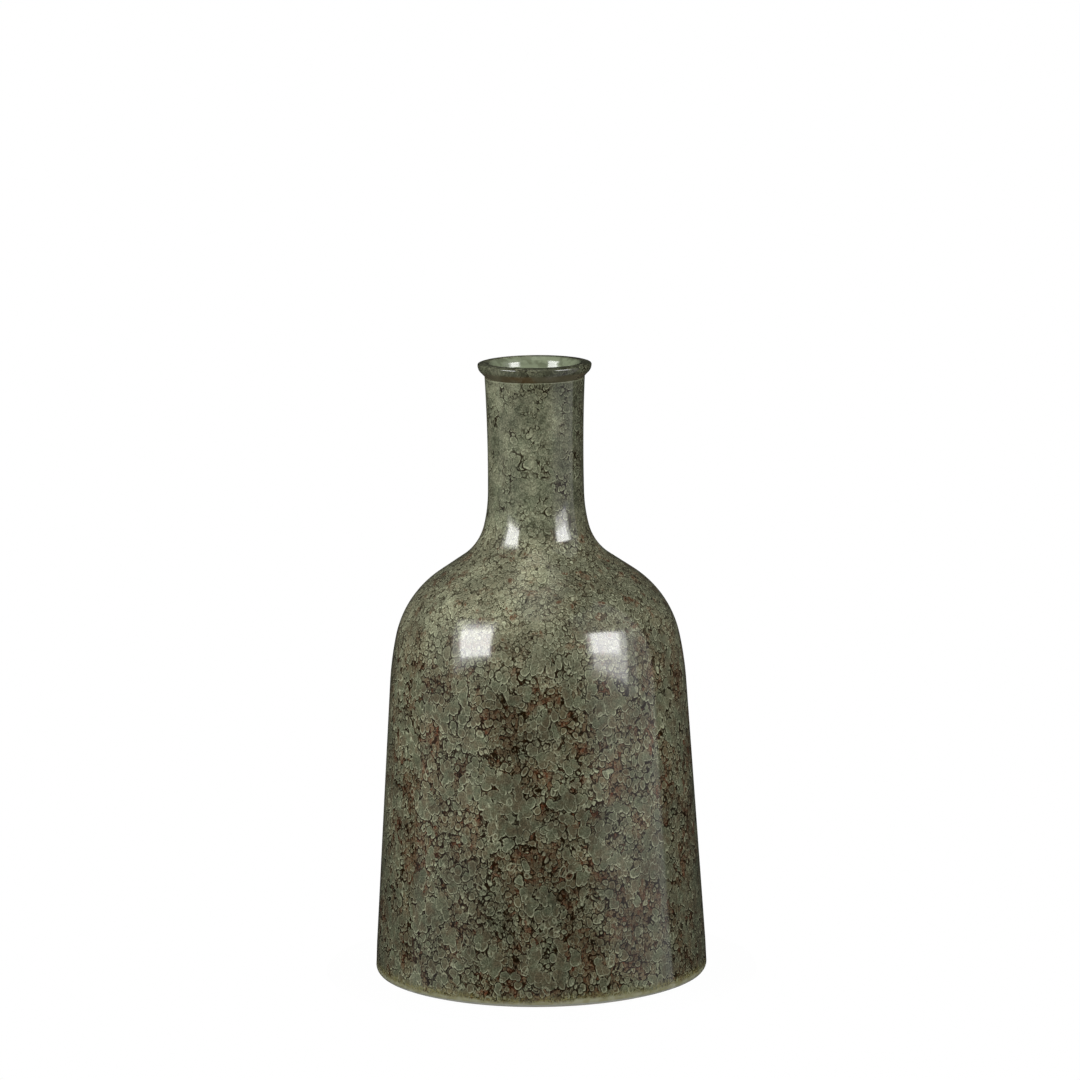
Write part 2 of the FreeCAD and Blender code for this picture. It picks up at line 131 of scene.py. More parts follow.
class Graph:
    """Adds nodes to a tree and links them, a number or an output at each input."""

    def __init__(self, tree: bpy.types.NodeTree) -> None:
        """Starts on a node tree."""
        self.tree = tree

    def feed(self, socket: Socket, value: object) -> None:
        """Links an output to a socket, or writes a plain value on it.

        Args:
            socket: the input.
            value: an output, a number, a vector or a colour.
        """
        if isinstance(value, bpy.types.NodeSocket):
            self.tree.links.new(value, socket)
        elif isinstance(value, tuple) and len(value) == 3 and socket.type == "RGBA":
            socket.default_value = (*value, 1)
        else:
            socket.default_value = value

    def add(self, kind: str, inputs: dict | None = None, **settings: object) -> bpy.types.Node:
        """Adds a node.

        Args:
            kind: the node's type name.
            inputs: what goes on its inputs, by name or number.
            settings: the node's own settings.

        Returns:
            The new node.
        """
        node = self.tree.nodes.new(kind)
        for name, value in settings.items():
            setattr(node, name, value)
        for name, value in (inputs or {}).items():
            self.feed(node.inputs[name], value)
        return node

    def number(self, kind: str, *values: Value) -> Socket:
        """A Math node's result for up to three numbers."""
        return self.add("ShaderNodeMath", dict(enumerate(values)), operation=kind).outputs[0]

    def product(self, first: Value, *others: Value) -> Socket:
        """The product of two or more numbers.

        Args:
            first: a number.
            others: the numbers that it is multiplied by.

        Returns:
            The product.
        """
        for other in others:
            first = self.number("MULTIPLY", first, other)
        return first

    def line(self, value: Value, slope: Value, start: Value) -> Socket:
        """A value times a slope, added to a start."""
        return self.number("MULTIPLY_ADD", value, slope, start)

    def less(self, value: Value, share: float = 1.0) -> Socket:
        """One, less a share of a value."""
        return self.line(value, -share, 1.0)

    def vector(self, kind: str, *values: object) -> Socket:
        """A Vector Math node's vector for up to three vectors."""
        return self.add("ShaderNodeVectorMath", dict(enumerate(values)), operation=kind).outputs[0]

    def split(self, vector: Socket) -> tuple[Socket, ...]:
        """The three parts of a vector."""
        return tuple(self.add("ShaderNodeSeparateXYZ", {0: vector}).outputs)

    def away(self, point: Socket) -> Socket:
        """How far a point is from the axis."""
        flat = self.vector("MULTIPLY", point, LEVEL)
        return self.add("ShaderNodeVectorMath", {0: flat}, operation="LENGTH").outputs[1]

    def scaled(self, vector: Socket, by: Value) -> Socket:
        """A vector or a colour times a number."""
        inputs = {0: vector, "Scale": by}
        return self.add("ShaderNodeVectorMath", inputs, operation="SCALE").outputs[0]

    def fade(self, value: Value, fade: Fade, strength: float = 1.0) -> Socket:
        """Puts a value through a soft step.

        Args:
            value: what the step reads.
            fade: the step.
            strength: what its start and stop are multiplied by.

        Returns:
            The step's value.
        """
        inputs = {
            "Value": value,
            "From Min": fade.low,
            "From Max": fade.high,
            "To Min": fade.start * strength,
            "To Max": fade.stop * strength,
        }
        node = self.add("ShaderNodeMapRange", inputs, interpolation_type="SMOOTHSTEP")
        return node.outputs["Result"]

    def coated(self, colour: Paint, *coats: tuple[Value, Paint]) -> Socket:
        """Lays coats of colour over a colour.

        Args:
            colour: the colour at the bottom.
            coats: how much of each coat shows, 0 to 1, and its colour, from the bottom up.

        Returns:
            The new colour.
        """
        for share, paint in coats:
            inputs = {0: share, 6: colour, 7: paint}
            colour = self.add("ShaderNodeMix", inputs, data_type="RGBA").outputs[2]
        return colour

    def cloud(self, point: Socket, grain: float, detail: float = 1.0, roughness: float = 0.5,
              output: str = "Fac") -> Socket:
        """Soft noise.

        Args:
            point: where it is read.
            grain: the width of its patches in metres.
            detail: how many finer copies it carries.
            roughness: how strong those copies are.
            output: Fac for one value, Color for three.

        Returns:
            The noise.
        """
        inputs = {"Vector": point, "Scale": 1 / grain, "Detail": detail, "Roughness": roughness}
        return self.add("ShaderNodeTexNoise", inputs).outputs[output]

    def mottled(self, point: Socket, mottle: Mottle) -> Socket:
        """Soft patches read at a point."""
        noise = self.cloud(point, mottle.grain, mottle.detail, mottle.roughness)
        return self.fade(noise, Fade(mottle.low, mottle.high, mottle.start, mottle.stop))

    def wander(self, point: Socket, wander: Wander) -> Socket:
        """A distance that wanders about zero."""
        noise = self.cloud(point, wander.grain, wander.detail)
        return self.line(noise, wander.reach, -wander.reach / 2)

    def stirred(self, point: Socket, wander: Wander) -> Socket:
        """Moves a point by soft noise, so that what is drawn on it loses its regular look.

        Args:
            point: the point.
            wander: the noise, on each of the three directions.

        Returns:
            The moved point.
        """
        noise = self.cloud(point, wander.grain, wander.detail, output="Color")
        centred = self.vector("SUBTRACT", noise, NOISE_MIDDLE)
        return self.vector("ADD", point, self.scaled(centred, wander.reach))


def new_material(name: str) -> tuple[bpy.types.Material, Graph]:
    """An empty node material.

    Args:
        name: the material's name.

    Returns:
        The material and a graph on its tree.
    """
    material = bpy.data.materials.new(name)
    material.use_nodes = True
    material.node_tree.nodes.clear()
    return material, Graph(material.node_tree)


def glossy_material(name: str) -> tuple[bpy.types.Material, Graph, bpy.types.Node]:
    """A material with its surface shader.

    Args:
        name: the material's name.

    Returns:
        The material, a graph on its tree, and its Principled shader.
    """
    material, graph = new_material(name)
    shader = graph.add("ShaderNodeBsdfPrincipled")
    graph.add("ShaderNodeOutputMaterial", {"Surface": shader.outputs[0]})
    return material, graph, shader


# Finishes

@dataclass(frozen=True)
class BubbleField:
    """Round bubbles of one size that run together into islands.

    Each cell holds a bubble or none. A soft noise read at the middle of the cell says which,
    so the bubbles gather in groups, and a group has a scalloped edge. Radii here are shares
    of the mean one, and other lengths are shares of the cells' spacing.
    """

    name: str = "bubble_layer"
    # the noise that a cell needs for a bubble at no cover, and how much less at full cover
    bare_limit: float = 0.75
    cover_reach: float = 0.5
    noise_detail: float = 1.0
    # how far chance moves that noise
    chance: float = 0.2
    # the least radius of a bubble, and how much chance adds
    least_radius: float = 0.8
    radius_spread: float = 0.4
    # a bubble shrinks towards the edge of its group
    edge_shrink: Fade = Fade(0.0, 0.08, 0.8, 1.1)
    # how softly two bubbles flow into each other
    flow: float = 0.14
    # what takes an empty cell out of reach, and puts it below any bubble
    sunk: float = 3.0
    outranked: float = 2.0

    def build(self) -> bpy.types.NodeTree:
        """Makes the node group.

        Returns:
            The group. Inside is the distance in metres to the edge of the island, above zero
            within it. Wall is the same for the bubble that lies on top there, Tone is random
            for each bubble that is seen, and Side runs from its lower half to its upper one.
        """
        tree = bpy.data.node_groups.new(self.name, "ShaderNodeTree")
        tree.interface.new_socket("Point", in_out="INPUT", socket_type="NodeSocketVector")
        for name in ("Cells", "Patches", "Cover", "Size"):
            tree.interface.new_socket(name, in_out="INPUT", socket_type="NodeSocketFloat")
        for name in ("Inside", "Wall", "Tone", "Side"):
            tree.interface.new_socket(name, in_out="OUTPUT", socket_type="NodeSocketFloat")
        graph = Graph(tree)
        given = graph.add("NodeGroupInput").outputs
        least = graph.line(given["Cover"], -self.cover_reach, self.bare_limit)
        depths, tones, ranks, sides = [], [], [], []
        for order in ("F1", "F2"):
            inputs = {"Vector": given["Point"], "Scale": given["Cells"]}
            cell = graph.add("ShaderNodeTexVoronoi", inputs, feature=order).outputs
            inputs = {"Vector": cell["Position"], "Scale": given["Patches"]}
            inputs["Detail"] = self.noise_detail
            noise = graph.add("ShaderNodeTexNoise", inputs).outputs["Fac"]
            luck = graph.add("ShaderNodeSeparateColor", {0: cell["Color"]}).outputs
            noise = graph.number("SUBTRACT", noise, self.chance / 2)
            surplus = graph.number("SUBTRACT", graph.line(luck[0], self.chance, noise), least)
            empty = graph.number("LESS_THAN", surplus, 0.0)
            radius = graph.line(luck[1], self.radius_spread, self.least_radius)
            radius = graph.product(radius, given["Size"], graph.fade(surplus, self.edge_shrink))
            radius = graph.line(empty, -self.sunk, radius)
            depths.append(graph.number("SUBTRACT", radius, cell["Distance"]))
            tones.append(luck[2])
            ranks.append(graph.line(empty, -self.outranked, luck[2]))
            off = graph.vector("SUBTRACT", given["Point"], cell["Position"])
            sides.append(graph.split(off)[2])

        def picked(share: Socket, pair: list[Socket]) -> Socket:
            """The first of a pair, or the second where the share is one."""
            inputs = {0: share, 2: pair[0], 3: pair[1]}
            return graph.add("ShaderNodeMix", inputs, data_type="FLOAT").outputs[0]

        merged = graph.number("SMOOTH_MAX", depths[0], depths[1], self.flow)
        above = graph.number("GREATER_THAN", ranks[1], ranks[0])
        walls = picked(above, depths)
        bare = graph.number("LESS_THAN", walls, 0.0)
        shown = graph.number("ABSOLUTE", graph.number("SUBTRACT", above, bare))
        graph.add("NodeGroupOutput", {
            "Inside": graph.number("DIVIDE", merged, given["Cells"]),
            "Wall": graph.number("DIVIDE", walls, given["Cells"]),
            "Tone": picked(shown, tones),
            "Side": graph.product(picked(shown, sides), given["Cells"]),
        })
        return tree


@dataclass(frozen=True)
class Palette:
    """The colours of the glaze."""

    sage: Colour = srgb(98, 104, 83)
    olive: Colour = srgb(142, 143, 118)
    taupe: Colour = srgb(93, 87, 68)
    rim: Colour = srgb(180, 184, 153)
    crack: Colour = srgb(27, 16, 2)
    umber: Colour = srgb(56, 44, 25)
    rust: Colour = srgb(86, 44, 24)
    ochre: Colour = srgb(92, 73, 49)
    bottle: Colour = srgb(52, 54, 41)
    mouth: Colour = srgb(126, 134, 110)
    brown: Colour = srgb(90, 70, 42)
    stain: Colour = srgb(106, 102, 64)
    cream: Colour = srgb(130, 130, 108)
    foot_grey: Colour = srgb(134, 135, 126)


@dataclass
class Surface:
    """What the glaze's pattern reads at a point of the vase.

    Bubbles is the node group that every layer of bubbles reads. Point is the place on the
    vase, swirled the same place stirred out of round, across its part to the right and
    height its part up. High is one from the shoulder up, and necked from the neck up. Rusty
    and calm say where the glaze is so, and thin is painted shade that darkens the right side
    of the shoulder and the neck. Broken and faint say how much of its cracks is left, and
    fine is its finest noise.
    """

    graph: Graph
    colours: Palette
    bubbles: bpy.types.NodeTree
    point: Socket
    swirled: Socket
    across: Socket
    height: Socket
    high: Socket
    necked: Socket
    rusty: Socket
    calm: Socket
    thin: Socket
    broken: Socket
    faint: Socket
    fine: Socket


@dataclass(frozen=True)
class Bubbles:
    """One size of bubble in the glaze.

    Cell is the spacing of the bubbles and island the width of their groups, in metres. Cover
    is the share of the cells that hold a bubble, and the covers after it are added in calm
    places, in rusty ones and from the shoulder up. Size is the mean radius as a share of the
    spacing. Shift moves the pattern, so that two layers don't share their islands. Rim and
    crack are the strengths of the pale rims and the dark cracks, and within is how strong
    both are between the bubbles of one island. Tone is how much darker one bubble may be than
    another, from least_tone up.
    """

    cell: float
    island: float
    cover: float
    size: float
    shift: float
    calm_cover: float = 0.0
    rusty_cover: float = 0.0
    high_cover: float = 0.0
    rim: float = 0.5
    crack: float = 1.0
    within: float = 0.0
    tone: float = 0.0
    least_tone: float = 0.0

    def covered(self, surface: Surface) -> Value:
        """The share of the cells that hold a bubble.

        Args:
            surface: what the pattern reads.

        Returns:
            The share, a number where it is the same all over.
        """
        changes = (
            (surface.calm, self.calm_cover),
            (surface.rusty, self.rusty_cover),
            (surface.high, self.high_cover),
        )
        cover = self.cover
        for where, change in changes:
            if change:
                cover = surface.graph.line(where, change, cover)
        return cover

    def read(self, surface: Surface) -> dict[str, Socket]:
        """Reads the layer.

        Args:
            surface: what the pattern reads.

        Returns:
            The bubble field's outputs by name.
        """
        inputs = {
            "Point": surface.graph.vector("ADD", surface.swirled, (self.shift,) * 3),
            "Cells": 1 / self.cell,
            "Patches": 1 / self.island,
            "Cover": self.covered(surface),
            "Size": self.size,
        }
        node = surface.graph.add("ShaderNodeGroup", inputs, node_tree=surface.bubbles)
        return {output.name: output for output in node.outputs}


@dataclass(frozen=True)
class LipPaint:
    """The lip: pale green in the mouth, dark in front, brown in the hollow under its roll.

    Heights are above the seam under the lip, and in_mouth reads the distance from the axis.
    """

    seam_height: float = 359.5 * MM
    above_seam: Fade = Fade(-0.1 * MM, 0.1 * MM)
    in_mouth: Fade = Fade(28.2 * MM, 26.2 * MM)
    dark_patches: Mottle = Mottle(3.5 * MM, 2.0, 0.35, 0.65, 0.1, 0.7)
    hollow: Fade = Fade(5.0 * MM, 3.0 * MM, 0.0, 0.75)
    hollow_patches: Mottle = Mottle(16 * MM, 1.0, 0.42, 0.58)
    mouth_specks: Fade = Fade(0.55, 0.75, 0.0, 0.5)
    mouth_patches: Mottle = Mottle(5 * MM, 3.0, 0.46, 0.6, 0.0, 0.75)
    pale_line: Fade = Fade(-0.9 * MM, -0.3 * MM, 0.0, 0.22)

    def paint(self, surface: Surface, colour: Socket) -> Socket:
        """Paints the lip over the glaze.

        Args:
            surface: what the pattern reads.
            colour: the glaze's colour so far.

        Returns:
            The new colour.
        """
        graph, point, colours = surface.graph, surface.point, surface.colours
        rise = graph.number("SUBTRACT", surface.height, self.seam_height)
        above = graph.fade(rise, self.above_seam)
        within = graph.product(graph.fade(graph.away(point), self.in_mouth), above)
        front = graph.product(above, graph.less(within))
        patches = graph.mottled(point, self.hollow_patches)
        brown = graph.coated(colours.taupe, (patches, colours.brown))
        green = graph.coated(
            colours.mouth,
            (graph.fade(surface.fine, self.mouth_specks), colours.sage),
            (graph.mottled(point, self.mouth_patches), colours.sage),
        )
        return graph.coated(
            colour,
            (graph.product(front, graph.mottled(point, self.dark_patches)), colours.bottle),
            (graph.product(front, graph.fade(rise, self.hollow)), brown),
            (within, green),
            (graph.product(graph.fade(rise, self.pale_line), graph.less(above)), colours.rim),
        )


@dataclass(frozen=True)
class FootPaint:
    """The foot, where the thick glaze stops in a yellow stain over a pale band.

    Levels are above the thick glaze's border, which wanders about its height. Lowest alone
    reads the plain height.
    """

    border_height: float = 4.2 * MM
    slow_wander: Wander = Wander(40 * MM, 7 * MM)
    quick_wander: Wander = Wander(2.6 * MM, 2.6 * MM, 2.0)
    stain: Fade = Fade(5.0 * MM, 0.4 * MM)
    stain_reach: Mottle = Mottle(9 * MM, 2.0, 0.38, 0.62, 0.45, 0.95)
    stain_specks: Fade = Fade(0.46, 0.58, 1.0, 0.15)
    band: Fade = Fade(1.0 * MM, -1.0 * MM, 0.0, 0.92)
    band_patches: Mottle = Mottle(5 * MM, 2.0, 0.4, 0.62, 0.0, 0.5)
    lowest: Fade = Fade(2.6 * MM, 1.6 * MM)

    def paint(self, surface: Surface, colour: Socket) -> Socket:
        """Paints the foot over the glaze.

        Args:
            surface: what the pattern reads.
            colour: the glaze's colour so far.

        Returns:
            The new colour.
        """
        graph, point, colours = surface.graph, surface.point, surface.colours
        slow = graph.wander(point, self.slow_wander)
        border = graph.number("ADD", slow, graph.wander(point, self.quick_wander))
        border = graph.number("ADD", border, self.border_height)
        level = graph.number("SUBTRACT", surface.height, border)
        stained = graph.product(
            graph.fade(level, self.stain),
            graph.mottled(point, self.stain_reach),
            graph.fade(surface.fine, self.stain_specks),
        )
        patches = graph.mottled(point, self.band_patches)
        band = graph.coated(colours.cream, (patches, colours.stain))
        return graph.coated(
            colour,
            (stained, colours.stain),
            (graph.fade(level, self.band), band),
            (graph.fade(surface.height, self.lowest), colours.foot_grey),
        )


@dataclass(frozen=True)
class ReactiveGlaze:
    """Thick glossy glaze that has broken into grey-green islands over a rusty ground."""

    name: str = "reactive_glaze"
    colours: Palette = Palette()
    lip: LipPaint = LipPaint()
    foot: FootPaint = FootPaint()
    roughness: float = 0.1
    index: float = 1.62
    # heights where the shoulder and the neck begin
    shoulder: Fade = Fade(180 * MM, 230 * MM)
    neck: Fade = Fade(260 * MM, 286 * MM)
    # what bends the bubbles out of round
    stretch: Place = (1.0, 1.0, 0.8)
    wide_stir: Wander = Wander(10 * MM, 4.5 * MM, 0.0)
    close_stir: Wander = Wander(3.4 * MM, 1.7 * MM)
    # rusty places, which run down the wall, and calm ones with few cracks
    rusty_stretch: Place = (1.0, 1.0, 0.7)
    rusty_zones: Mottle = Mottle(21 * MM, 2.0, 0.56, 0.44, roughness=0.55)
    high_rust_loss: float = 0.6
    calm_shift: Place = (0.3, 0.1, 0.2)
    calm_zones: Mottle = Mottle(30 * MM, 1.0, 0.5, 0.66)
    # the layers of bubbles, from the ground up
    grit: Bubbles = Bubbles(1.7 * MM, 4 * MM, 1.0, 0.64, 0.0, rim=0.14, crack=0.9, within=0.9)
    pebbles: Bubbles = Bubbles(
        2.5 * MM, 5 * MM, 0.72, 0.6, 0.23, rusty_cover=-0.25,
        rim=0.4, within=0.85, tone=0.4, least_tone=-0.1,
    )
    stones: Bubbles = Bubbles(
        4.2 * MM, 8 * MM, 0.42, 0.5, 0.37, rusty_cover=-0.22, high_cover=-0.16,
        within=0.7, tone=0.3, least_tone=-0.05,
    )
    islands: Bubbles = Bubbles(
        3.9 * MM, 13 * MM, 0.5, 0.66, 0.11, calm_cover=0.3, rusty_cover=-0.3, high_cover=-0.42,
        within=0.45, tone=0.22, least_tone=-0.02,
    )
    rings: Bubbles = Bubbles(8.5 * MM, 12 * MM, 0.45, 0.24, 0.71)
    # rims and cracks, by the distance within the edge of the island or of the bubble, the
    # rims stronger on the lower side of a bubble
    island_edge: Fade = Fade(-0.1 * MM, 0.1 * MM)
    island_rim: Fade = Fade(0.567 * MM, 0.336 * MM)
    bubble_rim: Fade = Fade(0.546 * MM, 0.294 * MM)
    island_crack: Fade = Fade(-0.624 * MM, -0.384 * MM)
    bubble_crack: Fade = Fade(-0.576 * MM, -0.24 * MM)
    rim_side: Fade = Fade(0.35, -0.3, 0.35, 1.0)
    crack_breaks: Mottle = Mottle(4 * MM, 1.0, 0.34, 0.54, 0.55, 1.0)
    high_crack_loss: float = 0.36
    neck_crack_gain: float = 0.35
    # the line of a ring, by the distance from its middle
    ring_inset: float = 0.4 * MM
    ring_line: Fade = Fade(0.4 * MM, 0.1 * MM, 0.0, 0.4)
    # the ground, and how dark it is between the grit
    ground_patches: Mottle = Mottle(12 * MM, 2.0, 0.42, 0.58)
    ground_rust: float = 0.6
    high_ground: float = 0.75
    grit_tone: Fade = Fade(0.0, 0.9, 0.0, 0.75)
    gap_dark: float = 0.3
    high_gap_dark: float = -0.2
    # the islands' greens, their ochre in rusty places and the rust spots on the shoulder
    green_patches: Mottle = Mottle(8 * MM, 2.0, 0.36, 0.64, 0.0, 0.8)
    high_olive: float = 0.75
    neck_sage: float = 0.7
    rusty_ochre: float = 0.45
    rust_spots: Mottle = Mottle(8 * MM, 3.0, 0.42, 0.36, 0.0, 0.75)
    # the smooth places on the neck
    neck_patches: Mottle = Mottle(7 * MM, 4.0, 0.4, 0.6, 0.2, 0.85)
    neck_cover: Mottle = Mottle(10 * MM, 3.0, 0.48, 0.58, 0.6, 0.05)
    # painted shade: the right side of the shoulder and the neck darker, by the place across
    upper_right_shade_wander: Wander = Wander(30 * MM, 30 * MM)
    upper_right_shade: Fade = Fade(-5 * MM, 23 * MM, 0.0, 0.6)
    # lightness: fine grain, slow drift, darker towards the foot, a streak down the middle of
    # the body, and painted shade that darkens its right side
    fine_grain: float = 0.9 * MM
    fine_shade: Fade = Fade(0.32, 0.68, 1.3, 0.68)
    slow_shade: Mottle = Mottle(19 * MM, 2.0, 0.35, 0.65, 1.16, 0.79)
    low_shade: Fade = Fade(150 * MM, 10 * MM, 1.0, 0.76)
    neck_shade: float = 0.12
    streak_wander: Wander = Wander(26 * MM, 24 * MM)
    streak_place: float = 2 * MM
    middle_streak: Fade = Fade(12 * MM, 40 * MM, 0.8, 1.0)
    # painted shade: the right side of the body, below the shoulder, darker
    right_side_shade: Fade = Fade(66 * MM, 76 * MM, 1.0, 0.8)
    # the skin's unevenness
    relief: float = 0.05 * MM
    relief_grain: float = 0.8 * MM
    relief_share: float = 0.7
    relief_strength: float = 0.2

    def build(self) -> bpy.types.Material:
        """Makes the material.

        Returns:
            The material.
        """
        material, graph, shader = glossy_material(self.name)
        surface = self.surface(graph)
        colour = self.smoothed(surface, self.pattern(surface))
        colour = graph.scaled(colour, self.shade(surface))
        colour = self.foot.paint(surface, self.lip.paint(surface, colour))
        graph.feed(shader.inputs["Base Color"], colour)
        shader.inputs["Roughness"].default_value = self.roughness
        shader.inputs["IOR"].default_value = self.index
        raised = graph.cloud(surface.point, self.relief_grain)
        bump = graph.add("ShaderNodeBump", {
            "Strength": self.relief_strength,
            "Distance": self.relief,
            "Height": graph.product(raised, self.relief_share),
        })
        graph.feed(shader.inputs["Normal"], bump.outputs[0])
        return material

    def surface(self, graph: Graph) -> Surface:
        """Works out what the pattern reads.

        Args:
            graph: the material's graph.

        Returns:
            The readings.
        """
        point = graph.add("ShaderNodeTexCoord").outputs["Object"]
        across, _, height = graph.split(point)
        high = graph.fade(height, self.shoulder)
        necked = graph.fade(height, self.neck)
        swirled = graph.stirred(graph.vector("MULTIPLY", point, self.stretch), self.wide_stir)
        zones = graph.mottled(graph.vector("MULTIPLY", point, self.rusty_stretch), self.rusty_zones)
        side = graph.number("ADD", across, graph.wander(point, self.upper_right_shade_wander))
        faint = graph.less(high, self.high_crack_loss)
        return Surface(
            graph=graph,
            colours=self.colours,
            bubbles=BubbleField().build(),
            point=point,
            swirled=graph.stirred(swirled, self.close_stir),
            across=across,
            height=height,
            high=high,
            necked=necked,
            rusty=graph.product(zones, graph.less(high, self.high_rust_loss)),
            calm=graph.mottled(graph.vector("ADD", point, self.calm_shift), self.calm_zones),
            # thin is painted shade: the right side of the shoulder and the neck darker
            thin=graph.product(graph.fade(side, self.upper_right_shade), high),
            broken=graph.mottled(point, self.crack_breaks),
            faint=graph.line(necked, self.neck_crack_gain, faint),
            fine=graph.cloud(point, self.fine_grain),
        )

    def lined(self, surface: Surface, bubbles: Bubbles, seen: dict[str, Socket], below: Paint,
              fill: Paint) -> Socket:
        """Lays a layer's islands over what is below them, with pale rims and dark cracks.

        Args:
            surface: what the pattern reads.
            bubbles: the layer.
            seen: the layer's readings.
            below: the colour that is there already.
            fill: the colour of the islands.

        Returns:
            The new colour.
        """
        graph, colours = surface.graph, surface.colours
        inside, wall = seen["Inside"], seen["Wall"]
        over = graph.number("GREATER_THAN", wall, 0.0)
        outer = graph.fade(inside, self.island_rim, bubbles.rim)
        inner = graph.fade(wall, self.bubble_rim, bubbles.rim * bubbles.within)
        rims = graph.number("MAXIMUM", outer, graph.product(inner, over))
        rims = graph.product(rims, graph.fade(seen["Side"], self.rim_side))
        inner = graph.fade(wall, self.bubble_crack, bubbles.crack * bubbles.within)
        inner = graph.product(inner, graph.less(over), surface.broken)
        outer = graph.fade(inside, self.island_crack, bubbles.crack)
        outer = graph.product(outer, surface.faint, surface.broken)
        island = graph.coated(fill, (rims, colours.rim), (inner, colours.crack))
        edge = graph.fade(inside, self.island_edge)
        return graph.coated(below, (outer, colours.crack), (edge, island))

    def pattern(self, surface: Surface) -> Socket:
        """Draws the ground and the layers of bubbles over it.

        Args:
            surface: what the pattern reads.

        Returns:
            The colour.
        """
        graph, point, colours = surface.graph, surface.point, surface.colours
        high, rusty = surface.high, surface.rusty
        pale = graph.coated(
            colours.taupe,
            (graph.mottled(point, self.green_patches), colours.sage),
            (graph.product(high, self.high_olive), colours.olive),
            (graph.product(surface.necked, self.neck_sage), colours.sage),
            # painted shade: dark bottle green on the right side of the shoulder and the neck
            (surface.thin, colours.bottle),
        )
        shoulder = graph.number("SUBTRACT", high, surface.necked)
        muted = graph.coated(
            pale,
            (graph.product(rusty, self.rusty_ochre), colours.ochre),
            (graph.product(graph.mottled(point, self.rust_spots), shoulder), colours.rust),
        )
        earth = graph.coated(
            colours.umber,
            (graph.mottled(point, self.ground_patches), colours.rust),
            (graph.product(rusty, self.ground_rust), colours.rust),
            (graph.product(high, self.high_ground), pale),
        )
        dark = graph.line(high, self.high_gap_dark, self.gap_dark)
        gaps = graph.coated(earth, (dark, colours.crack))
        grit = self.grit.read(surface)
        toned = graph.coated(earth, (graph.fade(grit["Tone"], self.grit_tone), muted))
        colour = self.lined(surface, self.grit, grit, gaps, toned)
        for bubbles, fill in ((self.pebbles, muted), (self.stones, muted), (self.islands, pale)):
            seen = bubbles.read(surface)
            tone = graph.line(seen["Tone"], bubbles.tone, bubbles.least_tone)
            toned = graph.coated(fill, (tone, colours.umber))
            colour = self.lined(surface, bubbles, seen, colour, toned)

        inside = self.rings.read(surface)["Inside"]
        off = graph.number("ABSOLUTE", graph.number("SUBTRACT", inside, self.ring_inset))
        ring = graph.product(graph.fade(off, self.ring_line), graph.less(high))
        return graph.coated(colour, (ring, colours.rim))

    def smoothed(self, surface: Surface, colour: Socket) -> Socket:
        """Lays smooth places over the pattern on the neck.

        Args:
            surface: what the pattern reads.
            colour: the glaze's colour so far.

        Returns:
            The new colour.
        """
        graph, point, colours = surface.graph, surface.point, surface.colours
        smooth = graph.coated(
            colours.sage,
            (graph.mottled(point, self.neck_patches), colours.olive),
            # painted shade: dark bottle green on the right side of the shoulder and the neck
            (surface.thin, colours.bottle),
        )
        hidden = graph.product(surface.necked, graph.mottled(point, self.neck_cover))
        return graph.coated(colour, (hidden, smooth))

    def shade(self, surface: Surface) -> Socket:
        """How light the glaze is: grain, drift, foot, middle streak and painted shade at the right.

        Args:
            surface: what the pattern reads.

        Returns:
            What the colour is multiplied by.
        """
        graph, point, across = surface.graph, surface.point, surface.across
        wavy = graph.number("ADD", across, graph.wander(point, self.streak_wander))
        wavy = graph.number("ABSOLUTE", graph.number("SUBTRACT", wavy, self.streak_place))
        # the middle streak, times painted shade that darkens the right side of the body below the
        # shoulder
        streak_and_right_shade = graph.product(
            graph.fade(wavy, self.middle_streak), graph.fade(across, self.right_side_shade)
        )
        loss = graph.number("SUBTRACT", streak_and_right_shade, 1.0)
        return graph.product(
            graph.fade(surface.fine, self.fine_shade),
            graph.mottled(point, self.slow_shade),
            graph.fade(surface.height, self.low_shade),
            graph.less(surface.necked, self.neck_shade),
            graph.line(loss, graph.less(surface.high), 1.0),
        )


@dataclass(frozen=True)
class PlainFinish:
    """An even finish with a little mottling, for the clay and the liner.

    Turning marks are rings about the axis, as a turning tool leaves them in the clay. Marks
    is their share of the mottling.
    """

    name: str
    colour: Colour
    darker: Colour
    grain: float
    roughness: float
    index: float = 1.5
    detail: float = 4.0
    copy_strength: float = 0.6
    mottle: Fade = Fade(0.35, 0.7)
    marks: float = 0.0
    mark_width: float = 2.6 * MM
    mark_line: Fade = Fade(-0.6, 1.0)
    mark_drift: float = 9.0
    drift_grain: float = 25 * MM
    drift_detail: float = 2.0

    def build(self) -> bpy.types.Material:
        """Makes the material.

        Returns:
            The material.
        """
        material, graph, shader = glossy_material(self.name)
        point = graph.add("ShaderNodeTexCoord").outputs["Object"]
        noise = graph.cloud(point, self.grain, self.detail, self.copy_strength)
        share = graph.fade(noise, self.mottle, 1.0 - self.marks)
        turns = graph.product(graph.away(point), math.tau / self.mark_width)
        drift = graph.cloud(point, self.drift_grain, self.drift_detail)
        turns = graph.number("SINE", graph.line(drift, self.mark_drift, turns))
        share = graph.number("ADD", share, graph.fade(turns, self.mark_line, self.marks))
        graph.feed(shader.inputs["Base Color"], graph.coated(self.colour, (share, self.darker)))
        shader.inputs["Roughness"].default_value = self.roughness
        shader.inputs["IOR"].default_value = self.index
        return material


# Turned pieces

@dataclass(frozen=True)
class Bend:
    """A stretch of the outline: a straight run, or an arc to a new lean."""

    length: float = 0.0
    radius: float = 0.0
    lean: float = 0.0
    steps: int = 8


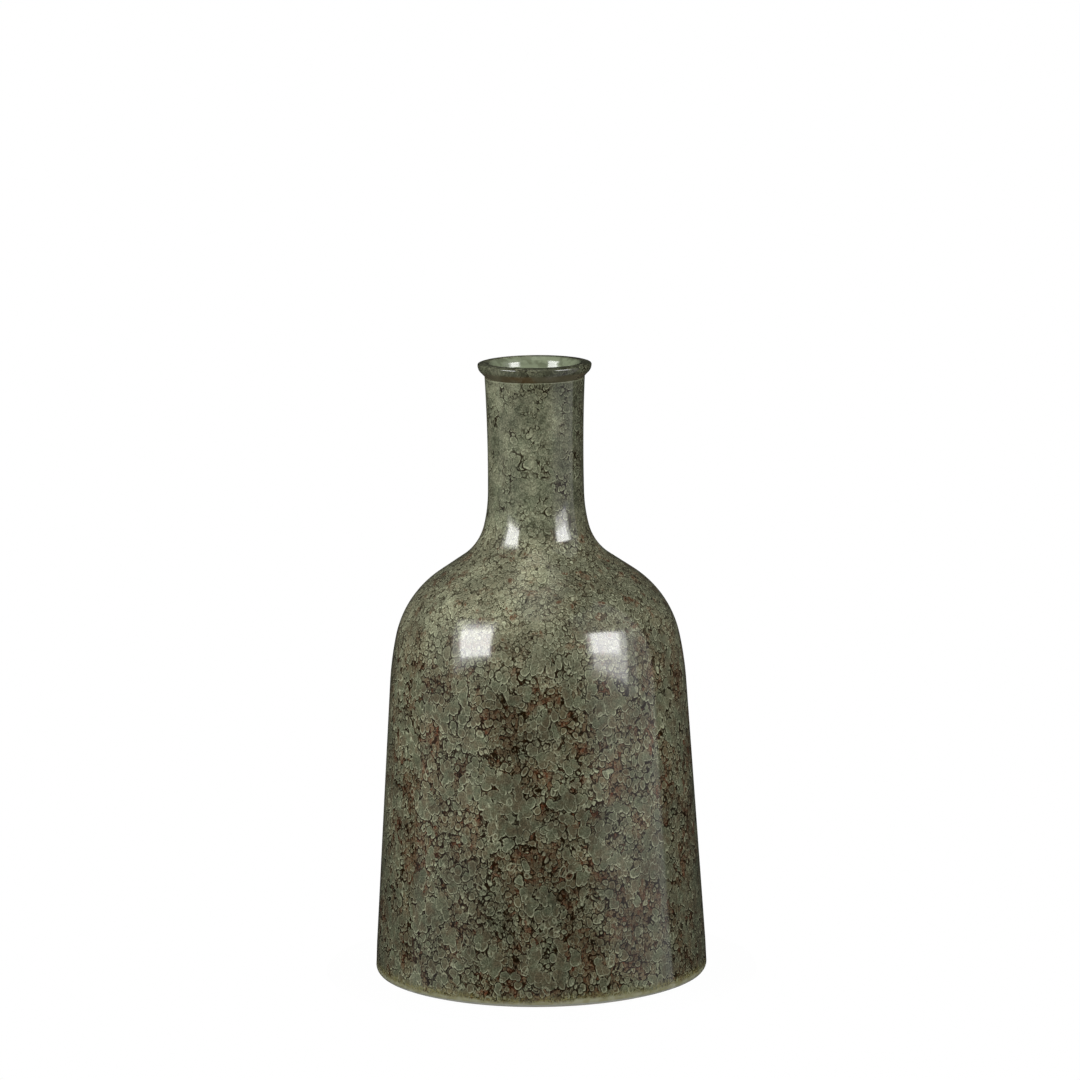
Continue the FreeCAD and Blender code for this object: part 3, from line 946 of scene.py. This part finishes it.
@dataclass
class Outline:
    """The outer line of the clay from the wall's foot to the seam under the lip.

    A lean is the angle in degrees between the line and the vertical, positive where it
    closes inwards.
    """

    foot: Spot = (99.3923 * MM, 3.8355 * MM)
    first_lean: float = 3.75
    bends: tuple[Bend, ...] = (
        Bend(length=172.137 * MM, steps=48),
        Bend(radius=199.485 * MM, lean=12.0, steps=12),
        Bend(radius=60.203 * MM, lean=56.0, steps=26),
        Bend(length=18.099 * MM, steps=8),
        Bend(radius=32.318 * MM, lean=14.0, steps=20),
        Bend(radius=89.018 * MM, lean=1.0, steps=12),
        Bend(radius=1036.949 * MM, lean=-2.815, steps=24),
    )

    def points(self, outward: float) -> list[Spot]:
        """The line, moved outward by a distance.

        Args:
            outward: how far outside the clay it lies, in metres.

        Returns:
            Radius and height of each point, from the foot up.
        """
        radius, height = self.foot
        lean = math.radians(self.first_lean)
        found = [(radius, height, lean)]
        for bend in self.bends:
            for step in range(1, bend.steps + 1):
                share = step / bend.steps
                if bend.length:
                    run = bend.length * share
                    place = (radius - run * math.sin(lean), height + run * math.cos(lean))
                    found.append((*place, lean))
                    continue
                end = math.radians(bend.lean)
                turn = lean + (end - lean) * share
                side = math.copysign(bend.radius, end - lean)
                found.append((
                    radius + side * (math.cos(turn) - math.cos(lean)),
                    height + side * (math.sin(turn) - math.sin(lean)),
                    turn,
                ))
            radius, height, lean = found[-1]
        return [(r + outward * math.cos(a), z + outward * math.sin(a)) for r, z, a in found]


def arc(centre: Spot, radius: float, start: float, stop: float, steps: int) -> list[Spot]:
    """Points on an arc of a section.

    Args:
        centre: radius and height of the arc's centre.
        radius: the arc's radius.
        start: its first angle in degrees from the outward direction.
        stop: its last angle.
        steps: how many steps it takes.

    Returns:
        Radius and height of each point.
    """
    angles = [math.radians(start + (stop - start) * step / steps) for step in range(steps + 1)]
    return [(centre[0] + radius * math.cos(a), centre[1] + radius * math.sin(a)) for a in angles]


def turned(name: str, section: list[Spot]) -> bpy.types.Object:
    """A piece turned about the axis from a closed section.

    Args:
        name: the piece's name.
        section: radius and height of each corner, in order, the last joined to the first.

    Returns:
        The new object, at the origin.
    """
    closed = section + section[:1]
    bpy.ops.object.select_all(action="DESELECT")
    bpy.ops.mesh.primitive_plane_add(size=MM, location=(closed[0][0], 0, closed[0][1]))
    piece = bpy.context.object
    piece.name = name
    bpy.ops.object.mode_set(mode="EDIT")
    bpy.ops.mesh.select_all(action="SELECT")
    bpy.ops.mesh.merge(type="CENTER")
    for (radius, height), (next_radius, next_height) in zip(closed, closed[1:]):
        step = (next_radius - radius, 0, next_height - height)
        bpy.ops.mesh.extrude_region_move(TRANSFORM_OT_translate={"value": step})
    bpy.ops.mesh.select_all(action="SELECT")
    bpy.ops.mesh.spin(steps=STEPS_ROUND, angle=math.tau, center=(0, 0, 0), axis=(0, 0, 1))
    bpy.ops.mesh.select_all(action="SELECT")
    bpy.ops.mesh.remove_doubles(threshold=WELD)
    bpy.ops.mesh.normals_make_consistent(inside=False)
    bpy.ops.object.mode_set(mode="OBJECT")
    bpy.ops.object.transform_apply(location=True, rotation=True, scale=True)
    bpy.ops.object.shade_smooth_by_angle(angle=CRISP)
    return piece


@dataclass
class Piece:
    """What every turned piece shares: a name, the nodes it stands for and its slot."""

    name: str
    nodes: tuple[str, ...]
    slot: Slot

    def place(self, piece: bpy.types.Object, material: bpy.types.Material) -> None:
        """Dresses a piece and ties it to the vase.

        Args:
            piece: the object.
            material: its finish.
        """
        piece.data.materials.clear()
        piece.data.materials.append(material)
        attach(piece, "root")
        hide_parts(*self.nodes)
        LOG.info("%s: %d faces", piece.name, len(piece.data.polygons))


@dataclass
class OuterCoat(Piece):
    """The thick coat from the foot band up to the seam under the lip."""

    name: str = "outer_coat"
    nodes: tuple[str, ...] = ("outer_glaze",)
    slot: Slot = Slot.REACTIVE
    outline: Outline = field(default_factory=Outline)
    thickness: float = 0.6 * MM
    foot_thickness: float = 0.35 * MM
    foot_rise: float = 1.8 * MM
    taper_steps: int = 4
    clay_gap: float = 0.02 * MM

    def build(self, material: bpy.types.Material) -> None:
        """Makes and dresses the coat.

        Args:
            material: the glaze.
        """
        full = self.outline.points(self.thickness)
        inner = self.outline.points(self.clay_gap)
        thin = self.outline.points(self.foot_thickness)
        lean = math.radians(self.outline.first_lean)
        across, up = math.cos(lean), math.sin(lean)
        foot = self.outline.foot
        low = (foot[0] - self.foot_rise * up, foot[1] + self.foot_rise * across)
        outer = [(low[0] + self.foot_thickness * across, low[1] + self.foot_thickness * up)]
        for number, (slim, thick) in enumerate(zip(thin[1:], full[1:]), 1):
            share = min(1.0, number / self.taper_steps)
            share = share * share * (3 - 2 * share)
            outer.append(tuple(a + share * (b - a) for a, b in zip(slim, thick)))
        self.place(turned(self.name, outer + inner[:0:-1] + [low]), material)


@dataclass
class LipCoat(Piece):
    """The coat over the rolled lip, down into the mouth.

    Its section goes up the roll, over the crest and down the hollow to the ledge, and back
    along the clay.
    """

    name: str = "lip_coat"
    nodes: tuple[str, ...] = ("lip_glaze",)
    slot: Slot = Slot.REACTIVE
    foot: Spot = (29.05 * MM, 359.5 * MM)
    roll: float = 6.0 * MM
    roll_centre: Spot = (27.85 * MM, 366.888 * MM)
    under_lean: float = -39.14
    edge: float = 1.05 * MM
    top_lean: float = 70.0
    top_round: float = 11.2 * MM
    crest: Spot = (29.3285 * MM, 368.55 * MM)
    inner_round: float = 4.9785 * MM
    hollow_round: float = 7.0 * MM
    hollow_start: float = 8.0
    hollow_stop: float = 28.0
    # steps of the arcs: the roll, its edge, the top, the inner side and the hollow
    arc_steps: tuple[int, ...] = (10, 6, 5, 12, 8)
    ledge: tuple[Spot, ...] = ((22.7 * MM, 361.95 * MM), (22.3 * MM, 361.8 * MM))
    back: tuple[Spot, ...] = (
        (22.3 * MM, 361.5 * MM),
        (24.9 * MM, 361.5 * MM),
        (24.97 * MM, 363.6 * MM),
        (29.3 * MM, 367.9 * MM),
        (33.2 * MM, 366.9 * MM),
        (28.85 * MM, 359.5 * MM),
    )

    def build(self, material: bpy.types.Material) -> None:
        """Makes and dresses the coat.

        Args:
            material: the glaze.
        """
        edge_centre = (self.roll_centre[0] + self.roll - self.edge, self.roll_centre[1])
        top_centre = (self.crest[0], self.crest[1] - self.top_round)
        inner_centre = (self.crest[0], self.crest[1] - self.inner_round)
        roll, edge, top, inner, hollow = self.arc_steps
        section = [self.foot]
        section += arc(self.roll_centre, self.roll, self.under_lean, OUT, roll)
        section += arc(edge_centre, self.edge, OUT, self.top_lean, edge)[1:]
        section += arc(top_centre, self.top_round, self.top_lean, UP, top)[1:]
        section += arc(inner_centre, self.inner_round, UP, IN - self.hollow_start, inner)[1:]
        turn = math.radians(self.hollow_start)
        radius, height = section[-1]
        hollow_centre = (
            radius - self.hollow_round * math.cos(turn),
            height + self.hollow_round * math.sin(turn),
        )
        start, stop = -self.hollow_start, -self.hollow_stop
        section += arc(hollow_centre, self.hollow_round, start, stop, hollow)[1:]
        self.place(turned(self.name, section + list(self.ledge + self.back)), material)


@dataclass
class FootBand(Piece):
    """The thin pale band round the foot, where the thick coat stops."""

    name: str = "foot_band"
    nodes: tuple[str, ...] = ("foot_glaze",)
    slot: Slot = Slot.FOOT
    centre: Spot = (95.8 * MM, 3.6 * MM)
    foot_round: float = 3.6 * MM
    thickness: float = 0.35 * MM
    clay_gap: float = 0.01 * MM
    start: float = -41.0
    lean: float = 3.75
    rise: float = 1.8 * MM
    steps: int = 12

    def side(self, outward: float) -> list[Spot]:
        """One side of the band's section.

        Args:
            outward: how far outside the clay it lies.

        Returns:
            Radius and height of each point, from the bottom up.
        """
        line = arc(self.centre, self.foot_round + outward, self.start, self.lean, self.steps)
        lean = math.radians(self.lean)
        radius, height = line[-1]
        return line + [(radius - self.rise * math.sin(lean), height + self.rise * math.cos(lean))]

    def build(self, material: bpy.types.Material) -> None:
        """Makes and dresses the band.

        Args:
            material: the glaze.
        """
        section = self.side(self.thickness) + self.side(self.clay_gap)[::-1]
        self.place(turned(self.name, section), material)


@dataclass
class PackedPieces:
    """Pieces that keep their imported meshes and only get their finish."""

    nodes: tuple[str, ...]

    def build(self, material: bpy.types.Material) -> None:
        """Dresses the pieces.

        Args:
            material: their finish.
        """
        for name in self.nodes:
            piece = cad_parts[name]
            piece.data.materials.clear()
            piece.data.materials.append(material)
            LOG.info("%s: packed mesh", name)


@dataclass
class ClayBody(PackedPieces):
    """The thrown sections: floor with foot ring, wall, shoulder, neck and rolled lip."""

    nodes: tuple[str, ...] = ("base", "wall", "shoulder", "neck", "lip")


@dataclass
class Liner(PackedPieces):
    """The coat inside."""

    nodes: tuple[str, ...] = ("liner_glaze",)


# Studio

@dataclass(frozen=True)
class Lamp:
    """A softbox, by its direction from the vase in degrees and its size at one metre."""

    name: str
    azimuth: float
    elevation: float
    width: float
    height: float
    radiance: float
    tilt: float
    distance: float = 2.8

    def build(self, aim: Place) -> None:
        """Hangs the lamp.

        Args:
            aim: the point that it is turned to.
        """
        light = bpy.data.lights.new(self.name, "AREA")
        light.shape = "RECTANGLE"
        light.size = self.width * self.distance
        light.size_y = self.height * self.distance
        light.energy = self.radiance * light.size * light.size_y * math.pi
        lamp = bpy.data.objects.new(self.name, light)
        bpy.context.scene.collection.objects.link(lamp)
        across, up = math.radians(self.azimuth), math.radians(self.elevation)
        lamp.location = (
            aim[0] + self.distance * math.sin(across) * math.cos(up),
            aim[1] - self.distance * math.cos(across) * math.cos(up),
            aim[2] + self.distance * math.sin(up),
        )
        turn = Matrix.Rotation(across, 4, "Z") @ Matrix.Rotation(math.pi / 2 - up, 4, "X")
        turn @= Matrix.Rotation(math.radians(self.tilt), 4, "Z")
        lamp.matrix_world = Matrix.Translation(lamp.location) @ turn


def seen_straight(graph: Graph) -> Socket:
    """One for a ray from the camera, and for one that is mirrored or passes through."""
    path = graph.add("ShaderNodeLightPath").outputs
    seen = graph.number("MAXIMUM", path["Is Camera Ray"], path["Is Glossy Ray"])
    return graph.number("MAXIMUM", seen, path["Is Transmission Ray"])


@dataclass
class Cloths:
    """Dark cloths all round, which only the gloss of the glaze shows.

    They are painted by the direction from the side of the vase that mirrors them, minus one
    in front of the vase and one behind it.
    """

    radius: float = 3.6
    height: float = 6.0
    sides: int = 48
    floor_gap: float = 0.1 * MM
    near: Colour = (0.006, 0.006, 0.006)
    left: Colour = (0.14, 0.14, 0.145)
    right: Colour = (0.42, 0.42, 0.43)
    right_strip: Colour = (0.62, 0.62, 0.63)
    far: Colour = (0.01, 0.01, 0.012)
    ceiling: Colour = (0.5, 0.5, 0.5)
    # where the sides of the vase mirror them, outward and to the front
    mirror_out: float = 0.075
    mirror_near: float = 0.06
    near_ends: Fade = Fade(-0.93, -0.6)
    strip_begins: Fade = Fade(-0.1, 0.12)
    far_begins: Fade = Fade(0.17, 0.22)
    # by the place across
    left_to_right: Fade = Fade(-0.3, 0.3)
    on_right: Fade = Fade(0.0, 0.1)
    ceiling_middle: Fade = Fade(2.0, 0.4)
    # by the height above the middle of the cloths
    lid: Fade = Fade(2.99, 2.995)

    def paint(self) -> bpy.types.Material:
        """Makes the cloths' material.

        Returns:
            The material.
        """
        material, graph = new_material("dark_cloth")
        across, along, up = graph.split(graph.add("ShaderNodeTexCoord").outputs["Object"])
        off = graph.number("ABSOLUTE", across)
        direction = graph.add("ShaderNodeCombineXYZ", {
            0: graph.number("SUBTRACT", off, self.mirror_out),
            1: graph.number("ADD", along, self.mirror_near),
        })
        ahead = graph.split(graph.vector("NORMALIZE", direction.outputs[0]))[1]
        sides = graph.coated(self.left, (graph.fade(across, self.left_to_right), self.right))
        strip = graph.product(
            graph.fade(ahead, self.strip_begins), graph.fade(across, self.on_right)
        )
        lid = graph.fade(up, self.lid)
        middle = graph.product(graph.fade(off, self.ceiling_middle), lid)
        colour = graph.coated(
            self.near,
            (graph.fade(ahead, self.near_ends), sides),
            (strip, self.right_strip),
            (graph.fade(ahead, self.far_begins), self.far),
            (lid, self.near),
            (middle, self.ceiling),
        )
        glow = graph.add("ShaderNodeEmission", {"Color": colour, "Strength": 1.0})
        graph.add("ShaderNodeOutputMaterial", {"Surface": glow.outputs[0]})
        return material

    def build(self) -> None:
        """Hangs the cloths."""
        bpy.ops.object.select_all(action="DESELECT")
        middle = self.height / 2 - self.floor_gap
        bpy.ops.mesh.primitive_cylinder_add(
            vertices=self.sides, radius=self.radius, depth=self.height, location=(0, 0, middle)
        )
        cloth = bpy.context.object
        cloth.name = "dark_cloths"
        cloth.visible_camera = False
        cloth.visible_diffuse = False
        cloth.visible_transmission = False
        cloth.visible_shadow = False
        cloth.data.materials.append(self.paint())


@dataclass
class Studio:
    """White floor and backdrop, two softboxes and dark cloths that the gloss mirrors.

    Each softbox has a bright middle, and wider, weaker lamps round it for its soft edge.
    """

    aim: Place = (0.0, 0.0, 0.2)
    ambient: float = 0.36
    floor_radius: float = 0.13
    floor_sides: int = 96
    floor_drop: float = 0.3 * MM
    floor_colour: Colour = (0.8, 0.8, 0.8)
    floor_glow: float = 0.985
    cloths: Cloths = field(default_factory=Cloths)
    lamps: tuple[Lamp, ...] = (
        Lamp("softbox_left", -55.8, 26.3, 0.450, 0.475, 5.4, 18.0),
        Lamp("softbox_left_cover", -56.8, 28.1, 0.462, 0.594, 3.9, 18.0),
        Lamp("softbox_left_edge", -59.8, 28.0, 0.612, 0.750, 1.6, 18.0),
        Lamp("softbox_right", 59.5, 23.7, 0.437, 0.350, 4.6, -17.0),
        Lamp("softbox_right_cover", 58.0, 22.9, 0.512, 0.400, 2.2, -17.0),
        Lamp("softbox_right_below", 62.6, 18.4, 0.537, 0.537, 3.6, -17.0),
        Lamp("softbox_right_edge", 65.0, 16.5, 0.812, 0.625, 0.6, -17.0),
    )

    def build(self) -> None:
        """Makes the world, the floor, the cloths and the lamps."""
        scene = bpy.context.scene
        scene.view_settings.view_transform = "Standard"
        self.light_world(scene)
        self.lay_floor()
        self.cloths.build()
        for lamp in self.lamps:
            lamp.build(self.aim)

    def light_world(self, scene: bpy.types.Scene) -> None:
        """White behind the vase, and a plain grey level on it.

        Args:
            scene: the scene that the world is for.
        """
        world = bpy.data.worlds.new("studio")
        scene.world = world
        world.use_nodes = True
        world.node_tree.nodes.clear()
        graph = Graph(world.node_tree)
        level = graph.line(seen_straight(graph), 1 - self.ambient, self.ambient)
        back = graph.add("ShaderNodeBackground", {"Color": WHITE, "Strength": level})
        graph.add("ShaderNodeOutputWorld", {"Surface": back.outputs[0]})

    def lay_floor(self) -> None:
        """A white disc that keeps the vase's shadow."""
        bpy.ops.object.select_all(action="DESELECT")
        bpy.ops.mesh.primitive_circle_add(
            vertices=self.floor_sides, radius=self.floor_radius, fill_type="NGON"
        )
        floor = bpy.context.object
        floor.name = "floor"
        floor.location = (0, 0, -self.floor_drop)
        material, graph = new_material("floor_white")
        paint = graph.add("ShaderNodeBsdfDiffuse", {"Color": self.floor_colour})
        glow = graph.add("ShaderNodeEmission", {"Color": WHITE, "Strength": 1.0})
        share = graph.product(seen_straight(graph), self.floor_glow)
        both = graph.add("ShaderNodeMixShader", {0: share, 1: paint.outputs[0], 2: glow.outputs[0]})
        graph.add("ShaderNodeOutputMaterial", {"Surface": both.outputs[0]})
        floor.data.materials.append(material)


@dataclass
class Viewpoint:
    """The camera, where a fit to the photograph's outline puts it.

    Its place is in metres, its angles in radians, and its lens and sensor in millimetres.
    """

    distance: float = 2.92537695
    height: float = 0.752899836
    pitch: float = 0.166482706
    roll: float = -0.011485876
    yaw: float = -0.000701
    lens: float = 165.882
    sensor: float = 36.0

    def build(self) -> None:
        """Makes the camera."""
        camera = bpy.data.cameras.new("camera")
        camera.sensor_width = self.sensor
        camera.lens = self.lens
        holder = bpy.data.objects.new("camera", camera)
        bpy.context.scene.collection.objects.link(holder)
        turn = Matrix.Rotation(self.yaw, 4, "Z") @ Matrix.Rotation(math.pi / 2 - self.pitch, 4, "X")
        turn @= Matrix.Rotation(self.roll, 4, "Z")
        holder.matrix_world = Matrix.Translation((0, -self.distance, self.height)) @ turn
        bpy.context.scene.camera = holder


def main() -> None:
    """Builds the vase, then the studio and the camera."""
    logging.basicConfig(level=logging.INFO, format="%(message)s")
    clay = PlainFinish(
        "bare_clay", srgb(196, 184, 160), srgb(164, 148, 120), 6 * MM, 0.75, marks=0.42
    )
    liner = PlainFinish("liner", srgb(118, 124, 104), srgb(98, 104, 82), 8 * MM, 0.15, 1.6)
    glaze = ReactiveGlaze().build()
    ClayBody().build(clay.build())
    Liner().build(liner.build())
    OuterCoat().build(glaze)
    LipCoat().build(glaze)
    FootBand().build(ReactiveGlaze("foot_glaze").build())
    Studio().build()
    Viewpoint().build()


if __name__ == "__main__":
    main()
